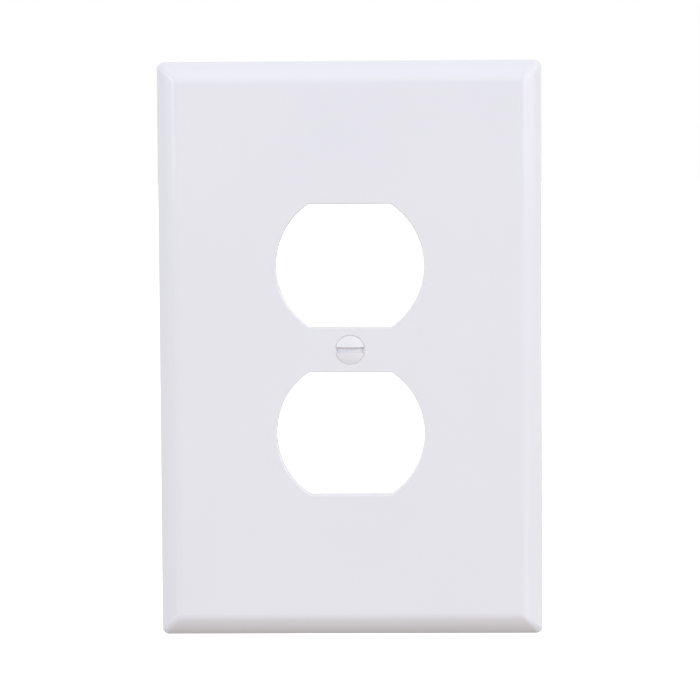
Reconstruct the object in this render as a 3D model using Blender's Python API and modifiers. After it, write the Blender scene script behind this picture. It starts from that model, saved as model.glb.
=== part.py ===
"""Oversize one-gang wall plate for a duplex receptacle, with its captive mounting screw.

Frame: the plate stands upright on a wall.  +Z is up, +X is to the right as seen from the room,
and the wall's surface is the plane Y = 0, so the plate's face looks along -Y.  The origin is on
the screw's axis at the wall's surface.
"""

from math import asin, atan2, cos, pi, radians, sin, sqrt, tan

import bmesh
import bpy
from mathutils import Matrix, Vector

MM = 0.001

# ---- plate: outside -------------------------------------------------------------------------
PLATE_WIDTH = 88.9 * MM
PLATE_HEIGHT = 133.35 * MM
PLATE_DEPTH = 6.35 * MM
CORNER_RADIUS = 1.5 * MM
FACE_CORNER_RADIUS = 0.5 * MM
# The border's section is three arcs: each has a radius, and the surface's tilt where it starts.
BORDER_ARCS = (
    (0.5 * MM, radians(90), 3),
    (9.0 * MM, radians(60), 5),
    (3.6 * MM, radians(28), 5),
)
CORNER_STEPS = 6

# ---- plate: hollow back ---------------------------------------------------------------------
FACE_THICKNESS = 2.0 * MM
RIM_THICKNESS = 1.9 * MM
POCKET_STRAIGHT = 1.9 * MM
POCKET_TAPER = 3.0 * MM
POCKET_CORNER_RADIUS = 1.0 * MM
RIB_THICKNESS = 1.2 * MM
RIB_TO_WALL = 1.6 * MM
UPRIGHT_RIB_X = 9.0 * MM

# ---- plate: openings ------------------------------------------------------------------------
OPENING_RADIUS = 17.1 * MM
OPENING_HALF_FLATS = 14.25 * MM
OPENING_SPACING = 38.9 * MM
OPENING_PLACES = (("upper", OPENING_SPACING / 2), ("lower", -OPENING_SPACING / 2))
OPENING_FILLET = 1.0 * MM
OPENING_LIP = 0.3 * MM
OPENING_LIP_STEPS = 3
OPENING_ARC_STEPS = 16
OPENING_FILLET_STEPS = 3
COLLAR_WALL = 1.6 * MM

# ---- plate: screw boss ----------------------------------------------------------------------
BOSS_RADIUS = 4.3 * MM
BOSS_TO_WALL = 2.9 * MM
SCREW_CLEARANCE_RADIUS = 1.95 * MM
COUNTERSINK_RADIUS = 3.5 * MM
COUNTERSINK_HALF_ANGLE = radians(41)

# ---- screw: number 6, 32 threads to the inch, oval countersunk head, half an inch long ------
SCREW_LENGTH = 12.7 * MM
HEAD_RADIUS = 3.33 * MM
HEAD_RISE = 0.65 * MM
HEAD_LAND = 0.12 * MM
SLOT_WIDTH = 1.2 * MM
SLOT_DEPTH = 1.25 * MM
THREAD_RADIUS = 1.75 * MM
THREAD_PITCH = 25.4 / 32 * MM
THREAD_ROOT_RADIUS = 1.31 * MM
THREAD_ROOT_WIDTH = 0.70 * MM
THREAD_CREST_WIDTH = 0.12 * MM
THREAD_FADE_TURNS = 0.6
NECK_RADIUS = 1.40 * MM
NECK_END = 0.1 * MM
TIP_RADIUS = 0.85 * MM
TIP_LENGTH = 0.6 * MM
TURN_STEPS = 24

# ---- retainer: thin washer that keeps the screw in the plate --------------------------------
RETAINER_RADIUS = 3.2 * MM
RETAINER_BORE_RADIUS = 1.52 * MM
RETAINER_THICKNESS = 0.5 * MM
RETAINER_ROOM = 0.5 * MM
RETAINER_NOTCH_WIDTH = 0.45 * MM
RETAINER_NOTCH_REACH = 2.3 * MM
SCREW_TRAVEL_TURNS = 2.75
TRAVEL_CLEARANCE = 0.05 * MM

CUT_MARGIN = 1.0 * MM
MERGE = 0.000001
FACETS = 48


# ---- scene helpers --------------------------------------------------------------------------


def clear_scene():
    for obj in list(bpy.data.objects):
        bpy.data.objects.remove(obj, do_unlink=True)


def new_collection(name):
    collection = bpy.data.collections.new(name)
    bpy.context.scene.collection.children.link(collection)
    return collection


def new_material(name, color, roughness, metallic=0.0):
    material = bpy.data.materials.new(name)
    material.use_nodes = True
    shader = material.node_tree.nodes["Principled BSDF"]
    shader.inputs["Base Color"].default_value = (*color, 1.0)
    shader.inputs["Roughness"].default_value = roughness
    shader.inputs["Metallic"].default_value = metallic
    return material


def add_object(name, bm, collection, material=None):
    """Turn a bmesh into an object of the collection."""
    mesh = bpy.data.meshes.new(name)
    bm.to_mesh(mesh)
    bm.free()
    obj = bpy.data.objects.new(name, mesh)
    collection.objects.link(obj)
    if material:
        mesh.materials.append(material)
    return obj


def as_cutter(obj):
    obj.hide_render = True
    obj.display_type = "WIRE"
    return obj


def boolean(obj, other, operation):
    modifier = obj.modifiers.new(f"{operation.lower()} {other.name}", "BOOLEAN")
    modifier.operation = operation
    modifier.solver = "EXACT"
    modifier.object = other


def shade(obj, angle=radians(30)):
    obj.data.shade_smooth()
    obj.data.set_sharp_from_angle(angle=angle)


# ---- shapes ---------------------------------------------------------------------------------


def loft(name, rings, collection, material=None):
    """A closed solid through a row of rings that all have the same number of points."""
    bm = bmesh.new()
    rows = [[bm.verts.new(point) for point in ring] for ring in rings]
    for near, far in zip(rows, rows[1:]):
        for i in range(len(near)):
            j = (i + 1) % len(near)
            bm.faces.new((near[i], near[j], far[j], far[i]))
    bm.faces.new(rows[0])
    bm.faces.new(rows[-1])
    bmesh.ops.recalc_face_normals(bm, faces=bm.faces)
    return add_object(name, bm, collection, material)


def box(name, low, high, collection):
    bm = bmesh.new()
    size = [b - a for a, b in zip(low, high)]
    middle = [(a + b) / 2 for a, b in zip(low, high)]
    place = Matrix.Translation(middle) @ Matrix.Diagonal((*size, 1.0))
    bmesh.ops.create_cube(bm, size=1.0, matrix=place)
    return add_object(name, bm, collection)


def turned(name, profile, collection, material=None, closed=False):
    """A body turned about the screw's axis, from (radius, y) points that run from front to back."""
    bm = bmesh.new()
    verts = [bm.verts.new((radius, 0.0, -y)) for radius, y in profile]
    for a, b in zip(verts, verts[1:]):
        bm.edges.new((a, b))
    if closed:
        bm.edges.new((verts[-1], verts[0]))
    obj = add_object(name, bm, collection, material)
    obj.rotation_euler = (radians(90), 0.0, 0.0)
    screw = obj.modifiers.new("turn", "SCREW")
    screw.axis = "Z"
    screw.steps = FACETS
    screw.render_steps = FACETS
    screw.use_merge_vertices = True
    screw.merge_threshold = MERGE
    return obj


def rounded_rectangle(half_width, half_height, radius, y):
    points = []
    for quadrant in range(4):
        side = 1 if quadrant in (0, 3) else -1
        top = 1 if quadrant in (0, 1) else -1
        for step in range(CORNER_STEPS + 1):
            angle = (quadrant + step / CORNER_STEPS) * pi / 2
            x = side * (half_width - radius) + radius * cos(angle)
            z = top * (half_height - radius) + radius * sin(angle)
            points.append(Vector((x, y, z)))
    return points


def duplex_outline(grow, y, centre_z):
    """The opening's outline, moved outwards by grow: a circle with a flat above and below."""
    radius = OPENING_RADIUS + grow
    flat = OPENING_HALF_FLATS + grow
    fillet = OPENING_FILLET + grow
    fillet_x = sqrt((radius - fillet) ** 2 - (flat - fillet) ** 2)
    fillet_z = flat - fillet
    meet = atan2(fillet_z, fillet_x)
    half = []
    for step in range(OPENING_ARC_STEPS + 1):
        angle = meet * (2 * step / OPENING_ARC_STEPS - 1)
        half.append((radius * cos(angle), radius * sin(angle)))
    corner = []
    for step in range(1, OPENING_FILLET_STEPS + 1):
        angle = meet + (pi / 2 - meet) * step / OPENING_FILLET_STEPS
        corner.append((fillet_x + fillet * cos(angle), fillet_z + fillet * sin(angle)))
    right = [(x, -z) for x, z in reversed(corner)] + half + corner
    left = [(-x, -z) for x, z in right]
    return [Vector((x, y, centre_z + z)) for x, z in right + left]


def border_profile():
    """The border's section as (inset from the outline, y), from the wall to the face."""
    section = [(0.0, 0.0)]
    for index, (radius, start, steps) in enumerate(BORDER_ARCS):
        end = BORDER_ARCS[index + 1][1] if index + 1 < len(BORDER_ARCS) else 0.0
        inset, rise = section[-1]
        for step in range(1 if index else 0, steps + 1):
            tilt = start + (end - start) * step / steps
            along = radius * (sin(start) - sin(tilt))
            up = radius * (cos(tilt) - cos(start))
            section.append((inset + along, rise + up))
    side = PLATE_DEPTH - section[-1][1]
    return [(0.0, 0.0)] + [(inset, -side - rise) for inset, rise in section[1:]]


# ---- wall plate -----------------------------------------------------------------------------


def plate_blank(collection, material):
    profile = border_profile()
    border_width = profile[-1][0]
    rings = []
    for inset, y in profile:
        radius = CORNER_RADIUS + (FACE_CORNER_RADIUS - CORNER_RADIUS) * inset / border_width
        half_width = PLATE_WIDTH / 2 - inset
        half_height = PLATE_HEIGHT / 2 - inset
        rings.append(rounded_rectangle(half_width, half_height, radius, y))
    return loft("wall_plate", rings, collection, material)


def back_pocket(collection):
    """The hollow behind the face: straight beside the rim, then tapered under the border."""
    floor = FACE_THICKNESS - PLATE_DEPTH
    section = (
        (RIM_THICKNESS, CUT_MARGIN),
        (RIM_THICKNESS, -POCKET_STRAIGHT),
        (RIM_THICKNESS + POCKET_TAPER, floor),
    )
    rings = []
    for inset, y in section:
        half_width = PLATE_WIDTH / 2 - inset
        half_height = PLATE_HEIGHT / 2 - inset
        rings.append(rounded_rectangle(half_width, half_height, POCKET_CORNER_RADIUS, y))
    pocket = as_cutter(loft("cut_pocket", rings, collection))
    for solid in (*collars(collection), boss(collection), *ribs(collection)):
        boolean(pocket, solid, "DIFFERENCE")
    return pocket


def collars(collection):
    """The walls round the openings, on the hidden side of the face."""
    solids = []
    for label, centre_z in OPENING_PLACES:
        rings = [
            duplex_outline(COLLAR_WALL, -PLATE_DEPTH, centre_z),
            duplex_outline(COLLAR_WALL, -RIB_TO_WALL, centre_z),
        ]
        solids.append(as_cutter(loft(f"keep_{label}_collar", rings, collection)))
    return solids


def opening(name, centre_z, collection):
    """The cutter of one opening, flared at the front by the rounded lip."""
    rings = [duplex_outline(OPENING_LIP, -PLATE_DEPTH - CUT_MARGIN, centre_z)]
    for step in range(OPENING_LIP_STEPS + 1):
        angle = step / OPENING_LIP_STEPS * pi / 2
        grow = OPENING_LIP * (1 - sin(angle))
        y = -PLATE_DEPTH + OPENING_LIP * (1 - cos(angle))
        rings.append(duplex_outline(grow, y, centre_z))
    rings.append(duplex_outline(0.0, CUT_MARGIN, centre_z))
    return as_cutter(loft(name, rings, collection))


def ribs(collection):
    """Stiffening ribs that run from the collars and the boss to the rim."""
    half = RIB_THICKNESS / 2
    starts = (
        (OPENING_SPACING / 2, OPENING_RADIUS),
        (0.0, RETAINER_RADIUS + RETAINER_ROOM),
        (-OPENING_SPACING / 2, OPENING_RADIUS),
    )
    spans = []
    for side in (1, -1):
        for z, start in starts:
            ends = sorted((side * start, side * PLATE_WIDTH / 2))
            spans.append(((ends[0], z - half), (ends[1], z + half)))
        for top in (1, -1):
            x = side * UPRIGHT_RIB_X
            start = OPENING_SPACING / 2 + OPENING_HALF_FLATS
            ends = sorted((top * start, top * PLATE_HEIGHT / 2))
            spans.append(((x - half, ends[0]), (x + half, ends[1])))
    solids = []
    for number, (low, high) in enumerate(spans, 1):
        corners = (low[0], -PLATE_DEPTH, low[1]), (high[0], -RIB_TO_WALL, high[1])
        solids.append(as_cutter(box(f"keep_rib_{number}", *corners, collection)))
    return solids


def boss(collection):
    back = -BOSS_TO_WALL
    profile = ((0.0, -PLATE_DEPTH), (BOSS_RADIUS, -PLATE_DEPTH), (BOSS_RADIUS, back), (0.0, back))
    return as_cutter(turned("keep_boss", profile, collection))


def screw_hole(collection):
    """Clearance hole with a countersink that opens at the face."""
    slope = tan(COUNTERSINK_HALF_ANGLE)
    throat = -PLATE_DEPTH + (COUNTERSINK_RADIUS - SCREW_CLEARANCE_RADIUS) / slope
    mouth = -PLATE_DEPTH - CUT_MARGIN
    profile = (
        (0.0, mouth),
        (COUNTERSINK_RADIUS + CUT_MARGIN * slope, mouth),
        (SCREW_CLEARANCE_RADIUS, throat),
        (SCREW_CLEARANCE_RADIUS, CUT_MARGIN),
        (0.0, CUT_MARGIN),
    )
    return as_cutter(turned("cut_screw_hole", profile, collection))


def build_plate(parts, cutters):
    material = new_material("white gloss plastic", (0.80, 0.79, 0.84), 0.28)
    plate = plate_blank(parts, material)
    boolean(plate, back_pocket(cutters), "DIFFERENCE")
    for label, centre_z in OPENING_PLACES:
        boolean(plate, opening(f"cut_{label}_opening", centre_z, cutters), "DIFFERENCE")
    boolean(plate, screw_hole(cutters), "DIFFERENCE")
    shade(plate)
    return plate


# ---- mounting screw -------------------------------------------------------------------------


def head_dome(steps=8):
    """Points of the oval head's dome, from its top out to the edge."""
    sphere = (HEAD_RADIUS**2 + HEAD_RISE**2) / (2 * HEAD_RISE)
    widest = asin(HEAD_RADIUS / sphere)
    top = -PLATE_DEPTH - HEAD_RISE
    points = []
    for step in range(steps + 1):
        angle = widest * step / steps
        points.append((sphere * sin(angle), top + sphere * (1 - cos(angle))))
    return points


def screw_blank(collection, material):
    """Head, plain neck and thread root as one turned body."""
    slope = tan(COUNTERSINK_HALF_ANGLE)
    edge = -PLATE_DEPTH + HEAD_LAND
    under_head = edge + (HEAD_RADIUS - NECK_RADIUS) / slope
    tip = SCREW_LENGTH - PLATE_DEPTH
    profile = head_dome() + [
        (HEAD_RADIUS, edge),
        (NECK_RADIUS, under_head),
        (NECK_RADIUS, NECK_END),
        (THREAD_ROOT_RADIUS, NECK_END + (NECK_RADIUS - THREAD_ROOT_RADIUS)),
        (THREAD_ROOT_RADIUS, tip - TIP_LENGTH),
        (TIP_RADIUS, tip),
        (0.0, tip),
    ]
    return turned("mounting_screw", profile, collection, material)


def thread_ridge(collection):
    """The right-hand thread's ridge as a coil that rises out of the root and sinks back into it."""
    start = NECK_END + THREAD_ROOT_WIDTH / 2 + 0.1 * MM
    end = SCREW_LENGTH - PLATE_DEPTH - TIP_LENGTH / 2 - THREAD_ROOT_WIDTH / 2
    turns = (end - start) / THREAD_PITCH
    steps = round(turns * TURN_STEPS)
    buried = THREAD_ROOT_RADIUS - 0.15 * MM
    bm = bmesh.new()
    sections = []
    for step in range(steps + 1):
        turned_by = turns * step / steps
        fade = min(1.0, turned_by / THREAD_FADE_TURNS, (turns - turned_by) / THREAD_FADE_TURNS)
        crest = buried + 0.02 * MM + (THREAD_RADIUS - buried - 0.02 * MM) * fade
        y = start + THREAD_PITCH * turned_by
        angle = -2 * pi * turned_by
        corners = (
            (buried, y - THREAD_ROOT_WIDTH / 2),
            (crest, y - THREAD_CREST_WIDTH / 2),
            (crest, y + THREAD_CREST_WIDTH / 2),
            (buried, y + THREAD_ROOT_WIDTH / 2),
        )
        sections.append([bm.verts.new((r * cos(angle), at, r * sin(angle))) for r, at in corners])
    for near, far in zip(sections, sections[1:]):
        for i in range(4):
            j = (i + 1) % 4
            bm.faces.new((near[i], near[j], far[j], far[i]))
    bm.faces.new(sections[0])
    bm.faces.new(sections[-1])
    bmesh.ops.recalc_face_normals(bm, faces=bm.faces)
    return as_cutter(add_object("add_thread", bm, collection))


def build_screw(parts, cutters):
    material = new_material("white painted steel", (0.82, 0.82, 0.85), 0.32)
    screw = screw_blank(parts, material)
    boolean(screw, thread_ridge(cutters), "UNION")
    slot_floor = -PLATE_DEPTH - HEAD_RISE + SLOT_DEPTH
    reach = HEAD_RADIUS + CUT_MARGIN
    low = (-reach, -PLATE_DEPTH - HEAD_RISE - CUT_MARGIN, -SLOT_WIDTH / 2)
    high = (reach, slot_floor, SLOT_WIDTH / 2)
    boolean(screw, as_cutter(box("cut_slot", low, high, cutters)), "DIFFERENCE")
    shade(screw)
    return screw


# ---- screw retainer -------------------------------------------------------------------------


def build_retainer(parts, cutters):
    """A thin notched washer on the neck, held up by the thread's first turn."""
    material = new_material("natural fibre washer", (0.62, 0.50, 0.36), 0.75)
    travel = SCREW_TRAVEL_TURNS * THREAD_PITCH
    front = -BOSS_TO_WALL + travel + TRAVEL_CLEARANCE
    back = front + RETAINER_THICKNESS
    profile = (
        (RETAINER_BORE_RADIUS, front),
        (RETAINER_RADIUS, front),
        (RETAINER_RADIUS, back),
        (RETAINER_BORE_RADIUS, back),
    )
    retainer = turned("screw_retainer", profile, parts, material, closed=True)
    for number in range(2):
        reach = (RETAINER_NOTCH_REACH, CUT_MARGIN, RETAINER_NOTCH_WIDTH / 2)
        middle = (front + back) / 2
        low = (-reach[0], middle - reach[1], -reach[2])
        high = (reach[0], middle + reach[1], reach[2])
        notch = as_cutter(box(f"cut_notch_{number + 1}", low, high, cutters))
        notch.rotation_euler = (0.0, radians(45 + 90 * number), 0.0)
        boolean(retainer, notch, "DIFFERENCE")
    shade(retainer)
    return retainer


def main():
    clear_scene()
    parts = new_collection("duplex_wall_plate")
    cutters = new_collection("cutters")
    build_plate(parts, cutters)
    build_screw(parts, cutters)
    build_retainer(parts, cutters)


main()
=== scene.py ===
"""Looks of an oversize duplex wall plate with its captive screw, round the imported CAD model.

Row frame, in metres: +Z up, +X to the right, the wall is the plane Y = 0 and the plate's face
looks along -Y.  The origin is on the screw's axis at the wall.
"""

from math import asin, atan2, cos, pi, radians, sin, sqrt, tan

import bmesh
import bpy
from mathutils import Matrix, Vector


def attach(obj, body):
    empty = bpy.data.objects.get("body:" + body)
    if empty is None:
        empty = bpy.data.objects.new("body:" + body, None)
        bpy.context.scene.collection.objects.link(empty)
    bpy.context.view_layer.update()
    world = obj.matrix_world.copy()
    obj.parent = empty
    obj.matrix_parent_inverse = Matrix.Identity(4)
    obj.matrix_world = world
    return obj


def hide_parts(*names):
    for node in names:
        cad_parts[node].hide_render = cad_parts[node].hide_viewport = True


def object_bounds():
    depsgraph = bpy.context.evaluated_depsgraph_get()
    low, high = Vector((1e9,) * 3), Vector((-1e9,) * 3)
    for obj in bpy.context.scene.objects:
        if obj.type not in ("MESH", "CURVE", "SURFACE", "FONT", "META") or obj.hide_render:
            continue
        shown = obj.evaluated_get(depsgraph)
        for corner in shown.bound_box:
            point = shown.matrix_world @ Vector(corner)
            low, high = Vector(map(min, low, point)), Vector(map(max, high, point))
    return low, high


MM = 0.001

# ---- plate: the CAD model's dimensions --------------------------------------------------------
PLATE_WIDTH = 88.9 * MM
PLATE_HEIGHT = 133.35 * MM
PLATE_DEPTH = 6.35 * MM
CORNER_RADIUS = 1.5 * MM
FACE_CORNER_RADIUS = 0.5 * MM
# The border's section is three arcs: radius, the surface's tilt where it starts, steps.
BORDER_ARCS = (
    (0.5 * MM, radians(90), 4),
    (9.0 * MM, radians(60), 16),
    (3.6 * MM, radians(28), 14),
)
CORNER_STEPS = 14
FACE_THICKNESS = 2.0 * MM
RIM_THICKNESS = 1.9 * MM
POCKET_STRAIGHT = 1.9 * MM
POCKET_TAPER = 3.0 * MM
POCKET_CORNER_RADIUS = 1.0 * MM
RIB_THICKNESS = 1.2 * MM
RIB_TO_WALL = 1.6 * MM
UPRIGHT_RIB_X = 9.0 * MM
OPENING_RADIUS = 17.1 * MM
OPENING_HALF_FLATS = 14.25 * MM
OPENING_SPACING = 38.9 * MM
OPENING_FILLET = 1.0 * MM
OPENING_LIP = 0.3 * MM
OPENING_LIP_STEPS = 8
OPENING_ARC_STEPS = 56
OPENING_FILLET_STEPS = 8
COLLAR_WALL = 1.6 * MM
BOSS_RADIUS = 4.3 * MM
BOSS_TO_WALL = 2.9 * MM
SCREW_CLEARANCE_RADIUS = 1.95 * MM
COUNTERSINK_RADIUS = 3.5 * MM
COUNTERSINK_HALF_ANGLE = radians(41)

# ---- plate: moulding detail of the hidden side ------------------------------------------------
DRAFT = 0.06 * MM
RIB_DROP = 0.12 * MM
EDGE = 0.25 * MM
FINE_EDGE = 0.06 * MM
EJECTOR_RADIUS = 2.0 * MM
EJECTOR_DEPTH = 0.20 * MM
EJECTOR_PLACES = ((31, 49), (31, 9.7), (0, 52), (23, 36))

# ---- screw and retainer -------------------------------------------------------------------------
SCREW_LENGTH = 12.7 * MM
HEAD_RADIUS = 3.33 * MM
HEAD_RISE = 0.65 * MM
HEAD_LAND = 0.12 * MM
SLOT_WIDTH = 1.2 * MM
SLOT_DEPTH = 1.25 * MM
THREAD_RADIUS = 1.75 * MM
THREAD_PITCH = 25.4 / 32 * MM
THREAD_ROOT_RADIUS = 1.31 * MM
THREAD_ROOT_WIDTH = 0.70 * MM
THREAD_CREST_WIDTH = 0.12 * MM
THREAD_FADE_TURNS = 0.6
NECK_RADIUS = 1.40 * MM
NECK_END = 0.1 * MM
TIP_RADIUS = 0.85 * MM
TIP_LENGTH = 0.6 * MM
TURN_STEPS = 48
RETAINER_RADIUS = 3.2 * MM
RETAINER_BORE_RADIUS = 1.52 * MM
RETAINER_THICKNESS = 0.5 * MM
RETAINER_ROOM = 0.5 * MM
RETAINER_NOTCH_WIDTH = 0.45 * MM
RETAINER_NOTCH_REACH = 2.3 * MM
SCREW_TRAVEL_TURNS = 2.75
TRAVEL_CLEARANCE = 0.05 * MM

# ---- materials ----------------------------------------------------------------------------------
PLASTIC_COLORS = ((0.790, 0.784, 0.830), (0.806, 0.798, 0.842))
PLASTIC_ROUGHNESS = 0.20
PLASTIC_IOR = 1.49
PAINT_COLORS = ((0.80, 0.785, 0.82), (0.83, 0.815, 0.85))
PAINT_ROUGHNESS = 0.32
ZINC_COLORS = ((0.60, 0.61, 0.63), (0.72, 0.72, 0.71))
FIBRE_COLORS = ((0.34, 0.24, 0.15), (0.56, 0.44, 0.30))
FIBRE_SPECULAR = 0.3
# the paint thins out over this stretch of the neck
PAINT_FADE = (-4.6 * MM, -3.2 * MM)

# ---- modelling: how far cutters reach past a face, welding distance, facets, sharpest soft edge --
CUT_MARGIN = 1.0 * MM
MERGE = 0.000001
FACETS = 96
SHARP = radians(33)

# ---- camera: position in mm, turned from looking straight along +Y ------------------------------
CAMERA_PLACE = (21.38, -769.7, 51.85)
CAMERA_YAW = radians(1.605)
CAMERA_PITCH = radians(-3.884)
CAMERA_ROLL = radians(0.381)
CAMERA_SENSOR = 36.0
CAMERA_LENS = 170.25

# ---- lights: azimuth from the front to the right, elevation, colour, power ----------------------
# Cool windows on both sides do most of the work, and a little warm light comes up from below.
LIGHT_DISTANCE = 1.5
LIGHT_SIZE = 0.8
COOL = (0.75, 0.85, 1.0)
WARM = (1.0, 0.8, 0.6)
NEUTRAL = (1.0, 1.0, 1.0)
LIGHTS = {
    "light_left_side": (-75, 15, COOL, 2.0),
    "light_left": (-50, 15, COOL, 6.0),
    "light_right": (50, 15, COOL, 6.0),
    "light_right_side": (75, 15, COOL, 4.0),
    "light_low_left": (-50, -20, WARM, 1.0),
    "light_low_right": (50, -20, WARM, 2.0),
    "light_back_left": (-150, 35, NEUTRAL, 5.0),
    "light_back_right": (140, 25, NEUTRAL, 3.0),
}
# the studio's own soft light: colour by how far up its direction points, from -1 to 1
WORLD_TONES = (
    (-0.90, (0.42, 0.42, 0.42)),
    (-0.45, (0.42, 0.36, 0.30)),
    (0.10, (0.77, 0.76, 0.75)),
)
FLOOR_SIZE = 12.0
FLOOR_GAP = 0.2 * MM


# ---- mesh helpers -------------------------------------------------------------------------------


def add_object(name, bm):
    mesh = bpy.data.meshes.new(name)
    bm.to_mesh(mesh)
    bm.free()
    obj = bpy.data.objects.new(name, mesh)
    bpy.context.scene.collection.objects.link(obj)
    return obj


def loft(name, rings):
    """A closed solid through a row of rings that all have the same number of points."""
    bm = bmesh.new()
    rows = [[bm.verts.new(point) for point in ring] for ring in rings]
    for near, far in zip(rows, rows[1:]):
        for i in range(len(near)):
            j = (i + 1) % len(near)
            bm.faces.new((near[i], near[j], far[j], far[i]))
    bm.faces.new(rows[0])
    bm.faces.new(rows[-1])
    bmesh.ops.recalc_face_normals(bm, faces=bm.faces)
    return add_object(name, bm)


def turned(name, profile, closed=False, facets=FACETS, centre=(0.0, 0.0)):
    """A body turned about an axis along Y, from (radius, y) points that run from front to back."""
    bm = bmesh.new()
    columns = []
    for step in range(facets):
        angle = 2 * pi * step / facets
        column = []
        for radius, y in profile:
            if radius == 0.0 and step:
                column.append(columns[0][len(column)])
                continue
            place = (centre[0] + radius * cos(angle), y, centre[1] + radius * sin(angle))
            column.append(bm.verts.new(place))
        columns.append(column)
    for step in range(facets):
        near, far = columns[step], columns[(step + 1) % facets]
        for k in range(len(profile) if closed else len(profile) - 1):
            m = (k + 1) % len(profile)
            corners = []
            for vert in (near[k], near[m], far[m], far[k]):
                if vert not in corners:
                    corners.append(vert)
            bm.faces.new(corners)
    bmesh.ops.recalc_face_normals(bm, faces=bm.faces)
    return add_object(name, bm)


def rounded(corners, steps=4):
    """A section's points from (across, y, radius) corners, with an arc where radius isn't zero."""
    points = []
    for index, (across, y, radius) in enumerate(corners):
        here = Vector((across, y))
        if radius == 0.0:
            points.append((across, y))
            continue
        before = (Vector(corners[index - 1][:2]) - here).normalized()
        after = (Vector(corners[index + 1][:2]) - here).normalized()
        half = before.angle(after) / 2
        centre = here + (before + after).normalized() * radius / sin(half)
        start = here + before * radius / tan(half) - centre
        sweep = pi - 2 * half
        if before.x * after.y - before.y * after.x > 0:
            sweep = -sweep
        for step in range(steps + 1):
            turn = Matrix.Rotation(sweep * step / steps, 2)
            points.append(tuple(centre + turn @ start))
    return points


def prism(name, low, high, draft, edge=0.0):
    """A box whose sides lean in by draft towards the wall, where its edges are rounded."""
    section = [(draft, low[1], 0.0), (-draft, high[1], edge)]
    if edge:
        section.append((-draft - 2 * edge, high[1], 0.0))
    rings = []
    for grow, y in rounded(section):
        x0, x1 = low[0] - grow, high[0] + grow
        z0, z1 = low[2] - grow, high[2] + grow
        rings.append([Vector(p) for p in ((x0, y, z0), (x1, y, z0), (x1, y, z1), (x0, y, z1))])
    return loft(name, rings)


def boolean(obj, other, operation):
    """Apply a boolean at once and throw the other object away."""
    modifier = obj.modifiers.new("boolean", "BOOLEAN")
    modifier.operation = operation
    modifier.solver = "EXACT"
    modifier.object = other
    apply_modifiers(obj)
    bpy.data.objects.remove(other, do_unlink=True)


def apply_modifiers(obj):
    graph = bpy.context.evaluated_depsgraph_get()
    mesh = bpy.data.meshes.new_from_object(obj.evaluated_get(graph), depsgraph=graph)
    old = obj.data
    obj.modifiers.clear()
    obj.data = mesh
    bpy.data.meshes.remove(old)


def soften(obj, width, share, segments=3):
    """Round the sharp edges; share(middle) is the part of width that an edge there gets."""
    bm = bmesh.new()
    bm.from_mesh(obj.data)
    bmesh.ops.remove_doubles(bm, verts=bm.verts, dist=MERGE)
    bmesh.ops.dissolve_degenerate(bm, edges=bm.edges, dist=MERGE)
    layer = bm.edges.layers.float.new("bevel_weight_edge")
    for edge in bm.edges:
        if len(edge.link_faces) == 2 and edge.calc_face_angle() > SHARP:
            edge[layer] = share((edge.verts[0].co + edge.verts[1].co) / 2)
    bm.to_mesh(obj.data)
    bm.free()
    bevel = obj.modifiers.new("soft edges", "BEVEL")
    bevel.limit_method = "WEIGHT"
    bevel.width = width
    bevel.segments = segments
    bevel.use_clamp_overlap = False
    bevel.miter_outer = "MITER_ARC"
    apply_modifiers(obj)


def shade(obj):
    obj.data.shade_smooth()
    obj.data.set_sharp_from_angle(angle=SHARP)
    weighted = obj.modifiers.new("weighted normals", "WEIGHTED_NORMAL")
    weighted.mode = "FACE_AREA"
    weighted.weight = 90
    weighted.keep_sharp = True
    apply_modifiers(obj)


# ---- wall plate ---------------------------------------------------------------------------------


def rounded_rectangle(half_width, half_height, radius, y, steps=CORNER_STEPS):
    points = []
    for quadrant in range(4):
        side = 1 if quadrant in (0, 3) else -1
        top = 1 if quadrant in (0, 1) else -1
        for step in range(steps + 1):
            angle = (quadrant + step / steps) * pi / 2
            x = side * (half_width - radius) + radius * cos(angle)
            z = top * (half_height - radius) + radius * sin(angle)
            points.append(Vector((x, y, z)))
    return points


def duplex_outline(grow, y, centre_z):
    """The opening's outline, moved outwards by grow: a circle with a flat above and below."""
    radius = OPENING_RADIUS + grow
    flat = OPENING_HALF_FLATS + grow
    fillet = OPENING_FILLET + grow
    fillet_x = sqrt((radius - fillet) ** 2 - (flat - fillet) ** 2)
    fillet_z = flat - fillet
    meet = atan2(fillet_z, fillet_x)
    half = []
    for step in range(OPENING_ARC_STEPS + 1):
        angle = meet * (2 * step / OPENING_ARC_STEPS - 1)
        half.append((radius * cos(angle), radius * sin(angle)))
    corner = []
    for step in range(1, OPENING_FILLET_STEPS + 1):
        angle = meet + (pi / 2 - meet) * step / OPENING_FILLET_STEPS
        corner.append((fillet_x + fillet * cos(angle), fillet_z + fillet * sin(angle)))
    right = [(x, -z) for x, z in reversed(corner)] + half + corner
    left = [(-x, -z) for x, z in right]
    return [Vector((x, y, centre_z + z)) for x, z in right + left]


def border_profile():
    """The border's section as (inset from the outline, y), from the wall to the face."""
    section = [(0.0, 0.0)]
    for index, (radius, start, steps) in enumerate(BORDER_ARCS):
        end = BORDER_ARCS[index + 1][1] if index + 1 < len(BORDER_ARCS) else 0.0
        inset, rise = section[-1]
        for step in range(1 if index else 0, steps + 1):
            tilt = start + (end - start) * step / steps
            along = radius * (sin(start) - sin(tilt))
            up = radius * (cos(tilt) - cos(start))
            section.append((inset + along, rise + up))
    side = PLATE_DEPTH - section[-1][1]
    back = rounded(((2 * EDGE, 0.0, 0.0), (0.0, 0.0, EDGE), (0.0, -side, 0.0)))
    return back[:-1] + [(inset, -side - rise) for inset, rise in section[1:]]


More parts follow.
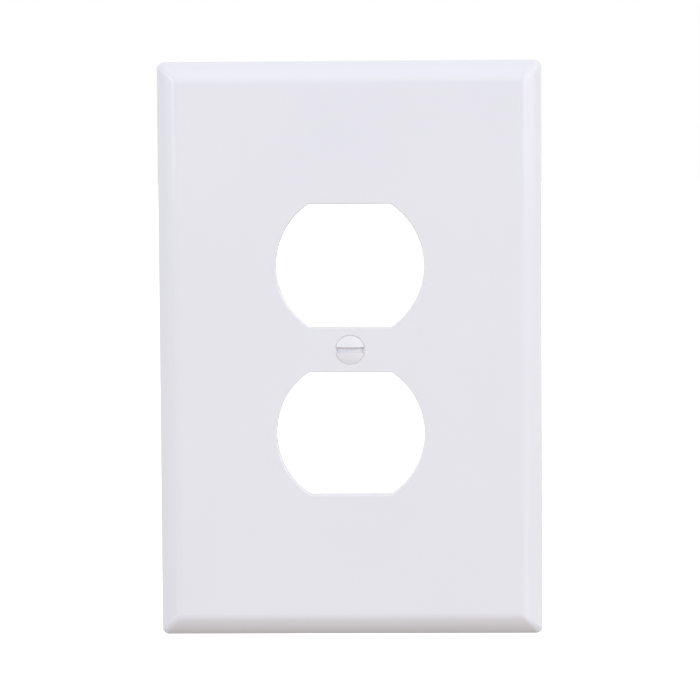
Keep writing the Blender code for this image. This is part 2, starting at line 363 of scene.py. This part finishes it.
def plate_blank():
    profile = border_profile()
    border_width = profile[-1][0]
    rings = []
    for inset, y in profile:
        radius = CORNER_RADIUS + (FACE_CORNER_RADIUS - CORNER_RADIUS) * inset / border_width
        half_width = PLATE_WIDTH / 2 - inset
        half_height = PLATE_HEIGHT / 2 - inset
        rings.append(rounded_rectangle(half_width, half_height, radius, y))
    return loft("plate_moulding", rings)


def back_pocket():
    """The hollow behind the face, less the collars, the boss and the ribs that stand in it."""
    floor = FACE_THICKNESS - PLATE_DEPTH
    section = (
        (RIM_THICKNESS - 3 * EDGE, CUT_MARGIN, 0.0),
        (RIM_THICKNESS - 3 * EDGE, 0.0, 0.0),
        (RIM_THICKNESS - DRAFT, 0.0, EDGE),
        (RIM_THICKNESS, -POCKET_STRAIGHT, 2 * EDGE),
        (RIM_THICKNESS + POCKET_TAPER, floor, 2 * EDGE),
        (RIM_THICKNESS + POCKET_TAPER + 4 * EDGE, floor, 0.0),
    )
    rings = []
    for inset, y in rounded(section):
        half_width = PLATE_WIDTH / 2 - inset
        half_height = PLATE_HEIGHT / 2 - inset
        rings.append(rounded_rectangle(half_width, half_height, POCKET_CORNER_RADIUS, y, 8))
    pocket = loft("pocket", rings)
    for x, z in EJECTOR_PLACES:
        for side in (1, -1) if x else (1,):
            for top in (1, -1):
                profile = ((0.0, floor - EJECTOR_DEPTH), (EJECTOR_RADIUS, floor - EJECTOR_DEPTH))
                profile += ((EJECTOR_RADIUS, floor + EJECTOR_DEPTH), (0.0, floor + EJECTOR_DEPTH))
                centre = (side * x * MM, top * z * MM)
                mark = turned("mark", profile, facets=48, centre=centre)
                boolean(pocket, mark, "UNION")
    for top in (1, -1):
        centre_z = top * OPENING_SPACING / 2
        section = (
            (COLLAR_WALL + DRAFT, -PLATE_DEPTH, 0.0),
            (COLLAR_WALL - DRAFT, -RIB_TO_WALL, EDGE),
            (COLLAR_WALL - 3 * EDGE, -RIB_TO_WALL, 0.0),
        )
        rings = [duplex_outline(grow, y, centre_z) for grow, y in rounded(section)]
        boolean(pocket, loft("collar", rings), "DIFFERENCE")
    section = (
        (0.0, -PLATE_DEPTH, 0.0),
        (BOSS_RADIUS + DRAFT, -PLATE_DEPTH, 0.0),
        (BOSS_RADIUS - DRAFT, -BOSS_TO_WALL, EDGE),
        (0.0, -BOSS_TO_WALL, 0.0),
    )
    boolean(pocket, turned("boss", rounded(section)), "DIFFERENCE")
    for low, high in rib_boxes():
        boolean(pocket, prism("rib", low, high, DRAFT, EDGE), "DIFFERENCE")
    return pocket


def rib_boxes():
    """Corners of the ribs that run from the collars and the boss to the rim."""
    half = RIB_THICKNESS / 2
    back = -RIB_TO_WALL - RIB_DROP
    inside_collar = 0.4 * COLLAR_WALL
    starts = (
        (OPENING_SPACING / 2, OPENING_RADIUS + inside_collar),
        (0.0, RETAINER_RADIUS + RETAINER_ROOM),
        (-OPENING_SPACING / 2, OPENING_RADIUS + inside_collar),
    )
    boxes = []
    for side in (1, -1):
        for z, start in starts:
            ends = sorted((side * start, side * PLATE_WIDTH / 2))
            boxes.append(((ends[0], -PLATE_DEPTH, z - half), (ends[1], back, z + half)))
        for top in (1, -1):
            x = side * UPRIGHT_RIB_X
            start = OPENING_SPACING / 2 + OPENING_HALF_FLATS + inside_collar
            ends = sorted((top * start, top * PLATE_HEIGHT / 2))
            boxes.append(((x - half, -PLATE_DEPTH, ends[0]), (x + half, back, ends[1])))
    return boxes


def opening(centre_z):
    """The cutter of one opening, flared at the front by the rounded lip."""
    front = (
        (OPENING_LIP, -PLATE_DEPTH - CUT_MARGIN, 0.0),
        (OPENING_LIP + EDGE, -PLATE_DEPTH, 0.0),
        (0.0, -PLATE_DEPTH, OPENING_LIP),
        (0.0, -RIB_TO_WALL, 0.0),
    )
    back = (
        (0.0, -PLATE_DEPTH, 0.0),
        (0.0, -RIB_TO_WALL, EDGE),
        (3 * EDGE, -RIB_TO_WALL, 0.0),
        (3 * EDGE, CUT_MARGIN, 0.0),
    )
    section = rounded(front, OPENING_LIP_STEPS)[2:-1] + rounded(back)[1:]
    rings = [duplex_outline(OPENING_LIP, -PLATE_DEPTH - CUT_MARGIN, centre_z)]
    rings += [duplex_outline(grow, y, centre_z) for grow, y in section]
    return loft("opening", rings)


def screw_hole():
    slope = tan(COUNTERSINK_HALF_ANGLE)
    throat = -PLATE_DEPTH + (COUNTERSINK_RADIUS - SCREW_CLEARANCE_RADIUS) / slope
    mouth = -PLATE_DEPTH - CUT_MARGIN
    outer = COUNTERSINK_RADIUS + 3 * FINE_EDGE
    section = (
        (0.0, mouth, 0.0),
        (outer, mouth, 0.0),
        (outer, -PLATE_DEPTH, 0.0),
        (COUNTERSINK_RADIUS, -PLATE_DEPTH, 2 * FINE_EDGE),
        (SCREW_CLEARANCE_RADIUS, throat, FINE_EDGE),
        (SCREW_CLEARANCE_RADIUS, -BOSS_TO_WALL, FINE_EDGE),
        (SCREW_CLEARANCE_RADIUS + 3 * FINE_EDGE, -BOSS_TO_WALL, 0.0),
        (SCREW_CLEARANCE_RADIUS + 3 * FINE_EDGE, CUT_MARGIN, 0.0),
        (0.0, CUT_MARGIN, 0.0),
    )
    return turned("screw_hole", rounded(section, 3))


def build_plate():
    plate = plate_blank()
    boolean(plate, back_pocket(), "DIFFERENCE")
    for top in (1, -1):
        boolean(plate, opening(top * OPENING_SPACING / 2), "DIFFERENCE")
    boolean(plate, screw_hole(), "DIFFERENCE")
    shade(plate)
    return plate


# ---- mounting screw and retainer ------------------------------------------------------------------


def head_dome(steps=20):
    """Points of the oval head's dome, from its top out to the edge."""
    sphere = (HEAD_RADIUS**2 + HEAD_RISE**2) / (2 * HEAD_RISE)
    widest = asin(HEAD_RADIUS / sphere)
    top = -PLATE_DEPTH - HEAD_RISE
    points = []
    for step in range(steps + 1):
        angle = widest * step / steps
        points.append((sphere * sin(angle), top + sphere * (1 - cos(angle))))
    return points


def screw_blank():
    slope = tan(COUNTERSINK_HALF_ANGLE)
    edge = -PLATE_DEPTH + HEAD_LAND
    under_head = edge + (HEAD_RADIUS - NECK_RADIUS) / slope
    tip = SCREW_LENGTH - PLATE_DEPTH
    profile = head_dome() + [
        (HEAD_RADIUS, edge),
        (NECK_RADIUS, under_head),
        (NECK_RADIUS, NECK_END),
        (THREAD_ROOT_RADIUS, NECK_END + (NECK_RADIUS - THREAD_ROOT_RADIUS)),
        (THREAD_ROOT_RADIUS, tip - TIP_LENGTH),
        (TIP_RADIUS, tip),
        (0.0, tip),
    ]
    return turned("slotted_screw", profile)


def thread_ridge():
    """The right-hand thread's ridge as a coil that rises out of the root and sinks back into it."""
    start = NECK_END + THREAD_ROOT_WIDTH / 2 + 0.1 * MM
    end = SCREW_LENGTH - PLATE_DEPTH - TIP_LENGTH / 2 - THREAD_ROOT_WIDTH / 2
    turns = (end - start) / THREAD_PITCH
    steps = round(turns * TURN_STEPS)
    buried = THREAD_ROOT_RADIUS - 0.15 * MM
    bm = bmesh.new()
    sections = []
    for step in range(steps + 1):
        turned_by = turns * step / steps
        fade = min(1.0, turned_by / THREAD_FADE_TURNS, (turns - turned_by) / THREAD_FADE_TURNS)
        crest = buried + 0.02 * MM + (THREAD_RADIUS - buried - 0.02 * MM) * fade
        y = start + THREAD_PITCH * turned_by
        angle = -2 * pi * turned_by
        corners = (
            (buried, y - THREAD_ROOT_WIDTH / 2),
            (crest, y - THREAD_CREST_WIDTH / 2),
            (crest, y + THREAD_CREST_WIDTH / 2),
            (buried, y + THREAD_ROOT_WIDTH / 2),
        )
        sections.append([bm.verts.new((r * cos(angle), at, r * sin(angle))) for r, at in corners])
    for near, far in zip(sections, sections[1:]):
        for i in range(4):
            j = (i + 1) % 4
            bm.faces.new((near[i], near[j], far[j], far[i]))
    bm.faces.new(sections[0])
    bm.faces.new(sections[-1])
    bmesh.ops.recalc_face_normals(bm, faces=bm.faces)
    return add_object("thread", bm)


def build_screw():
    screw = screw_blank()
    slot_floor = -PLATE_DEPTH - HEAD_RISE + SLOT_DEPTH
    reach = HEAD_RADIUS + CUT_MARGIN
    low = (-reach, -PLATE_DEPTH - HEAD_RISE - CUT_MARGIN, -SLOT_WIDTH / 2)
    high = (reach, slot_floor, SLOT_WIDTH / 2)
    boolean(screw, prism("slot", low, high, 0.0), "DIFFERENCE")

    def share(middle):
        return 1.0 if middle.y < -PLATE_DEPTH + 1.0 * MM else 0.3

    soften(screw, 0.07 * MM, share)
    boolean(screw, thread_ridge(), "UNION")
    shade(screw)
    return screw


def build_retainer():
    """A thin notched washer on the neck, held up by the thread's first turn."""
    travel = SCREW_TRAVEL_TURNS * THREAD_PITCH
    front = -BOSS_TO_WALL + travel + TRAVEL_CLEARANCE
    back = front + RETAINER_THICKNESS
    profile = (
        (RETAINER_BORE_RADIUS, front),
        (RETAINER_RADIUS, front),
        (RETAINER_RADIUS, back),
        (RETAINER_BORE_RADIUS, back),
    )
    retainer = turned("fibre_retainer", profile, closed=True)
    for number in range(2):
        half = RETAINER_NOTCH_WIDTH / 2
        low = (-RETAINER_NOTCH_REACH, front - CUT_MARGIN, -half)
        high = (RETAINER_NOTCH_REACH, back + CUT_MARGIN, half)
        notch = prism("notch", low, high, 0.0)
        notch.data.transform(Matrix.Rotation(radians(45 + 90 * number), 4, "Y"))
        boolean(retainer, notch, "DIFFERENCE")
    soften(retainer, 0.06 * MM, lambda middle: 1.0, segments=2)
    shade(retainer)
    return retainer


# ---- materials ----------------------------------------------------------------------------------


class Nodes:
    """Short names for building one material's node tree."""

    def __init__(self, name):
        self.material = bpy.data.materials.new(name)
        self.material.use_nodes = True
        self.tree = self.material.node_tree
        self.shader = self.tree.nodes["Principled BSDF"]
        coordinates = self.tree.nodes.new("ShaderNodeTexCoord")
        self.place = coordinates.outputs["Object"]

    def link(self, source, target):
        self.tree.links.new(source, target)

    def noise(self, scale, detail=2.0, roughness=0.5, vector=None):
        node = self.tree.nodes.new("ShaderNodeTexNoise")
        node.inputs["Scale"].default_value = scale
        node.inputs["Detail"].default_value = detail
        node.inputs["Roughness"].default_value = roughness
        self.link(vector or self.place, node.inputs["Vector"])
        return node.outputs["Fac"]

    def stretched(self, factors, turn=(0.0, 0.0, 0.0)):
        node = self.tree.nodes.new("ShaderNodeMapping")
        node.inputs["Scale"].default_value = factors
        node.inputs["Rotation"].default_value = turn
        self.link(self.place, node.inputs["Vector"])
        return node.outputs["Vector"]

    def ranged(self, value, low, high, to_low, to_high):
        node = self.tree.nodes.new("ShaderNodeMapRange")
        for name, number in zip(
            ("From Min", "From Max", "To Min", "To Max"), (low, high, to_low, to_high)
        ):
            node.inputs[name].default_value = number
        self.link(value, node.inputs["Value"])
        return node.outputs["Result"]

    def math(self, operation, a, b):
        node = self.tree.nodes.new("ShaderNodeMath")
        node.operation = operation
        for socket, value in zip(node.inputs, (a, b)):
            if isinstance(value, (int, float)):
                socket.default_value = value
            else:
                self.link(value, socket)
        return node.outputs["Value"]

    def mix(self, factor, a, b):
        node = self.tree.nodes.new("ShaderNodeMix")
        node.data_type = "RGBA"
        self.link(factor, node.inputs["Factor"])
        for socket, value in ((node.inputs[6], a), (node.inputs[7], b)):
            if isinstance(value, tuple):
                socket.default_value = (*value, 1.0)
            else:
                self.link(value, socket)
        return node.outputs[2]

    def bump(self, height, strength, distance, under=None):
        node = self.tree.nodes.new("ShaderNodeBump")
        node.inputs["Strength"].default_value = strength
        node.inputs["Distance"].default_value = distance
        self.link(height, node.inputs["Height"])
        if under:
            self.link(under, node.inputs["Normal"])
        return node.outputs["Normal"]

    def axis(self, index):
        node = self.tree.nodes.new("ShaderNodeSeparateXYZ")
        self.link(self.place, node.inputs["Vector"])
        return node.outputs[index]


def plastic_material():
    """Glossy moulded white: slight orange peel, a clouded tint, and fine handling marks."""
    n = Nodes("glossy_moulded_white")
    cloud = n.ranged(n.noise(28.0, 3.0), 0.3, 0.7, 0.0, 1.0)
    n.link(n.mix(cloud, *PLASTIC_COLORS), n.shader.inputs["Base Color"])
    peel = n.noise(1100.0, 2.0)
    grain = n.noise(7000.0, 2.0)
    scuffs = n.noise(260.0, 4.0, 0.65, n.stretched((1.0, 1.0, 0.16), (0.0, 0.5, 0.0)))
    gloss = n.math("ADD", n.ranged(peel, 0.3, 0.7, -0.015, 0.015), PLASTIC_ROUGHNESS)
    gloss = n.math("ADD", gloss, n.ranged(scuffs, 0.60, 0.80, 0.0, 0.06))
    n.link(gloss, n.shader.inputs["Roughness"])
    fine = n.bump(grain, 0.10, 0.000001)
    n.link(n.bump(peel, 0.15, 0.000003, fine), n.shader.inputs["Normal"])
    n.shader.inputs["IOR"].default_value = PLASTIC_IOR
    return n.material


def paint_material():
    """White paint on the head that thins out along the neck over zinc-plated steel."""
    n = Nodes("painted_screw")
    along = n.ranged(n.axis(1), *PAINT_FADE, 0.0, 1.0)
    speckle = n.ranged(n.noise(2600.0, 3.0, 0.6), 0.3, 0.7, -0.5, 0.5)
    bare = n.ranged(n.math("ADD", along, speckle), 0.35, 0.65, 0.0, 1.0)
    paint = n.mix(n.noise(900.0, 3.0), *PAINT_COLORS)
    zinc = n.mix(n.noise(1500.0, 4.0), *ZINC_COLORS)
    n.link(n.mix(bare, paint, zinc), n.shader.inputs["Base Color"])
    n.link(bare, n.shader.inputs["Metallic"])
    low, high = PAINT_ROUGHNESS - 0.03, PAINT_ROUGHNESS + 0.05
    gloss = n.ranged(n.noise(3200.0, 3.0), 0.3, 0.7, low, high)
    n.link(gloss, n.shader.inputs["Roughness"])
    n.link(n.bump(n.noise(2200.0, 3.0), 0.30, 0.00001), n.shader.inputs["Normal"])
    return n.material


def fibre_material():
    """Pressed fibre sheet: brown-grey, matted, with short strands lying in its plane."""
    n = Nodes("pressed_fibre")
    strands = n.noise(5200.0, 4.0, 0.7, n.stretched((1.0, 3.0, 0.3)))
    cross = n.noise(5200.0, 4.0, 0.7, n.stretched((0.3, 3.0, 1.0)))
    both = n.math("MULTIPLY", n.math("ADD", strands, cross), 0.5)
    tone = n.ranged(both, 0.38, 0.62, 0.0, 1.0)
    n.link(n.mix(tone, *FIBRE_COLORS), n.shader.inputs["Base Color"])
    n.link(n.ranged(tone, 0.0, 1.0, 0.86, 0.70), n.shader.inputs["Roughness"])
    n.link(n.bump(both, 0.6, 0.00003), n.shader.inputs["Normal"])
    n.shader.inputs["Specular IOR Level"].default_value = FIBRE_SPECULAR
    return n.material


# ---- stage ----------------------------------------------------------------------------------------


def add_camera():
    camera = bpy.data.objects.new("camera", bpy.data.cameras.new("camera"))
    camera.data.sensor_width = CAMERA_SENSOR
    camera.data.lens = CAMERA_LENS
    camera.data.clip_start = 0.01
    camera.data.clip_end = 100.0
    # the camera's own axes are right, up and backwards, so it looks along +Y after this turn
    level = Matrix.Rotation(radians(90), 3, "X")
    turn = Matrix.Rotation(CAMERA_YAW, 3, "Z") @ Matrix.Rotation(CAMERA_PITCH, 3, "X")
    turn = turn @ Matrix.Rotation(CAMERA_ROLL, 3, "Y") @ level
    place = Matrix.Translation([value * MM for value in CAMERA_PLACE])
    camera.matrix_world = place @ turn.to_4x4()
    bpy.context.scene.collection.objects.link(camera)
    bpy.context.scene.camera = camera


def add_light(name, azimuth, elevation, color, power):
    light = bpy.data.lights.new(name, "AREA")
    light.shape = "DISK"
    light.size = LIGHT_SIZE
    light.color = color
    light.energy = power
    obj = bpy.data.objects.new(name, light)
    a, e = radians(azimuth), radians(elevation)
    towards = Vector((sin(a) * cos(e), -cos(a) * cos(e), sin(e)))
    obj.location = towards * LIGHT_DISTANCE
    obj.rotation_mode = "QUATERNION"
    obj.rotation_quaternion = towards.to_track_quat("Z", "Y")
    obj.visible_camera = False
    bpy.context.scene.collection.objects.link(obj)


def add_world():
    """White where the camera sees it, and an even soft light on the object."""
    world = bpy.data.worlds.new("studio")
    world.use_nodes = True
    bpy.context.scene.world = world
    tree = world.node_tree
    light = tree.nodes["Background"]
    direction = tree.nodes.new("ShaderNodeTexCoord").outputs["Generated"]
    split = tree.nodes.new("ShaderNodeSeparateXYZ")
    tree.links.new(direction, split.inputs[0])
    height = tree.nodes.new("ShaderNodeMapRange")
    height.inputs["From Min"].default_value = -1.0
    tree.links.new(split.outputs["Z"], height.inputs["Value"])
    tones = tree.nodes.new("ShaderNodeValToRGB")
    tones.color_ramp.interpolation = "EASE"
    tones.color_ramp.elements.new(0.5)
    for stop, (z, color) in zip(tones.color_ramp.elements, WORLD_TONES):
        stop.position = (z + 1) / 2
        stop.color = (*color, 1.0)
    tree.links.new(height.outputs["Result"], tones.inputs["Fac"])
    tree.links.new(tones.outputs["Color"], light.inputs["Color"])
    seen = tree.nodes.new("ShaderNodeBackground")
    seen.inputs["Color"].default_value = (1.0, 1.0, 1.0, 1.0)
    seen.inputs["Strength"].default_value = 1.0
    path = tree.nodes.new("ShaderNodeLightPath")
    mix = tree.nodes.new("ShaderNodeMixShader")
    tree.links.new(path.outputs["Is Camera Ray"], mix.inputs[0])
    tree.links.new(light.outputs[0], mix.inputs[1])
    tree.links.new(seen.outputs[0], mix.inputs[2])
    tree.links.new(mix.outputs[0], tree.nodes["World Output"].inputs["Surface"])


def add_floor(lowest):
    """A plain white floor just under the plate, seen by the camera alone."""
    bm = bmesh.new()
    bmesh.ops.create_grid(bm, x_segments=8, y_segments=8, size=FLOOR_SIZE / 2)
    floor = add_object("studio_floor", bm)
    floor.location.z = lowest - FLOOR_GAP
    material = bpy.data.materials.new("white_floor")
    material.use_nodes = True
    shader = material.node_tree.nodes["Principled BSDF"]
    shader.inputs["Base Color"].default_value = (0.9, 0.9, 0.9, 1.0)
    shader.inputs["Emission Color"].default_value = (1.0, 1.0, 1.0, 1.0)
    shader.inputs["Emission Strength"].default_value = 1.0
    floor.data.materials.append(material)
    floor.visible_diffuse = False
    floor.visible_glossy = False
    floor.visible_shadow = False


def dress(obj, material, body, node):
    obj.data.materials.clear()
    obj.data.materials.append(material)
    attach(obj, body)
    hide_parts(node)


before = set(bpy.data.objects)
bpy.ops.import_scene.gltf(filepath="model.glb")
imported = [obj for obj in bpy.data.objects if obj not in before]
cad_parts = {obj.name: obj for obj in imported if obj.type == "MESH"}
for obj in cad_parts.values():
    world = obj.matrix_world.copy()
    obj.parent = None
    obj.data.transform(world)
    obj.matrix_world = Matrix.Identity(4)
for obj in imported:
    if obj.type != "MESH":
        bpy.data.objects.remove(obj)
cad_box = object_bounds()
dress(build_plate(), plastic_material(), "plate", "wall_plate")
dress(build_screw(), paint_material(), "screw", "mounting_screw")
dress(build_retainer(), fibre_material(), "retainer", "screw_retainer")
add_camera()
add_world()
add_floor(cad_box[0].z)
for light_name, settings in LIGHTS.items():
    add_light(light_name, *settings)
bpy.context.scene.view_settings.view_transform = "Standard"
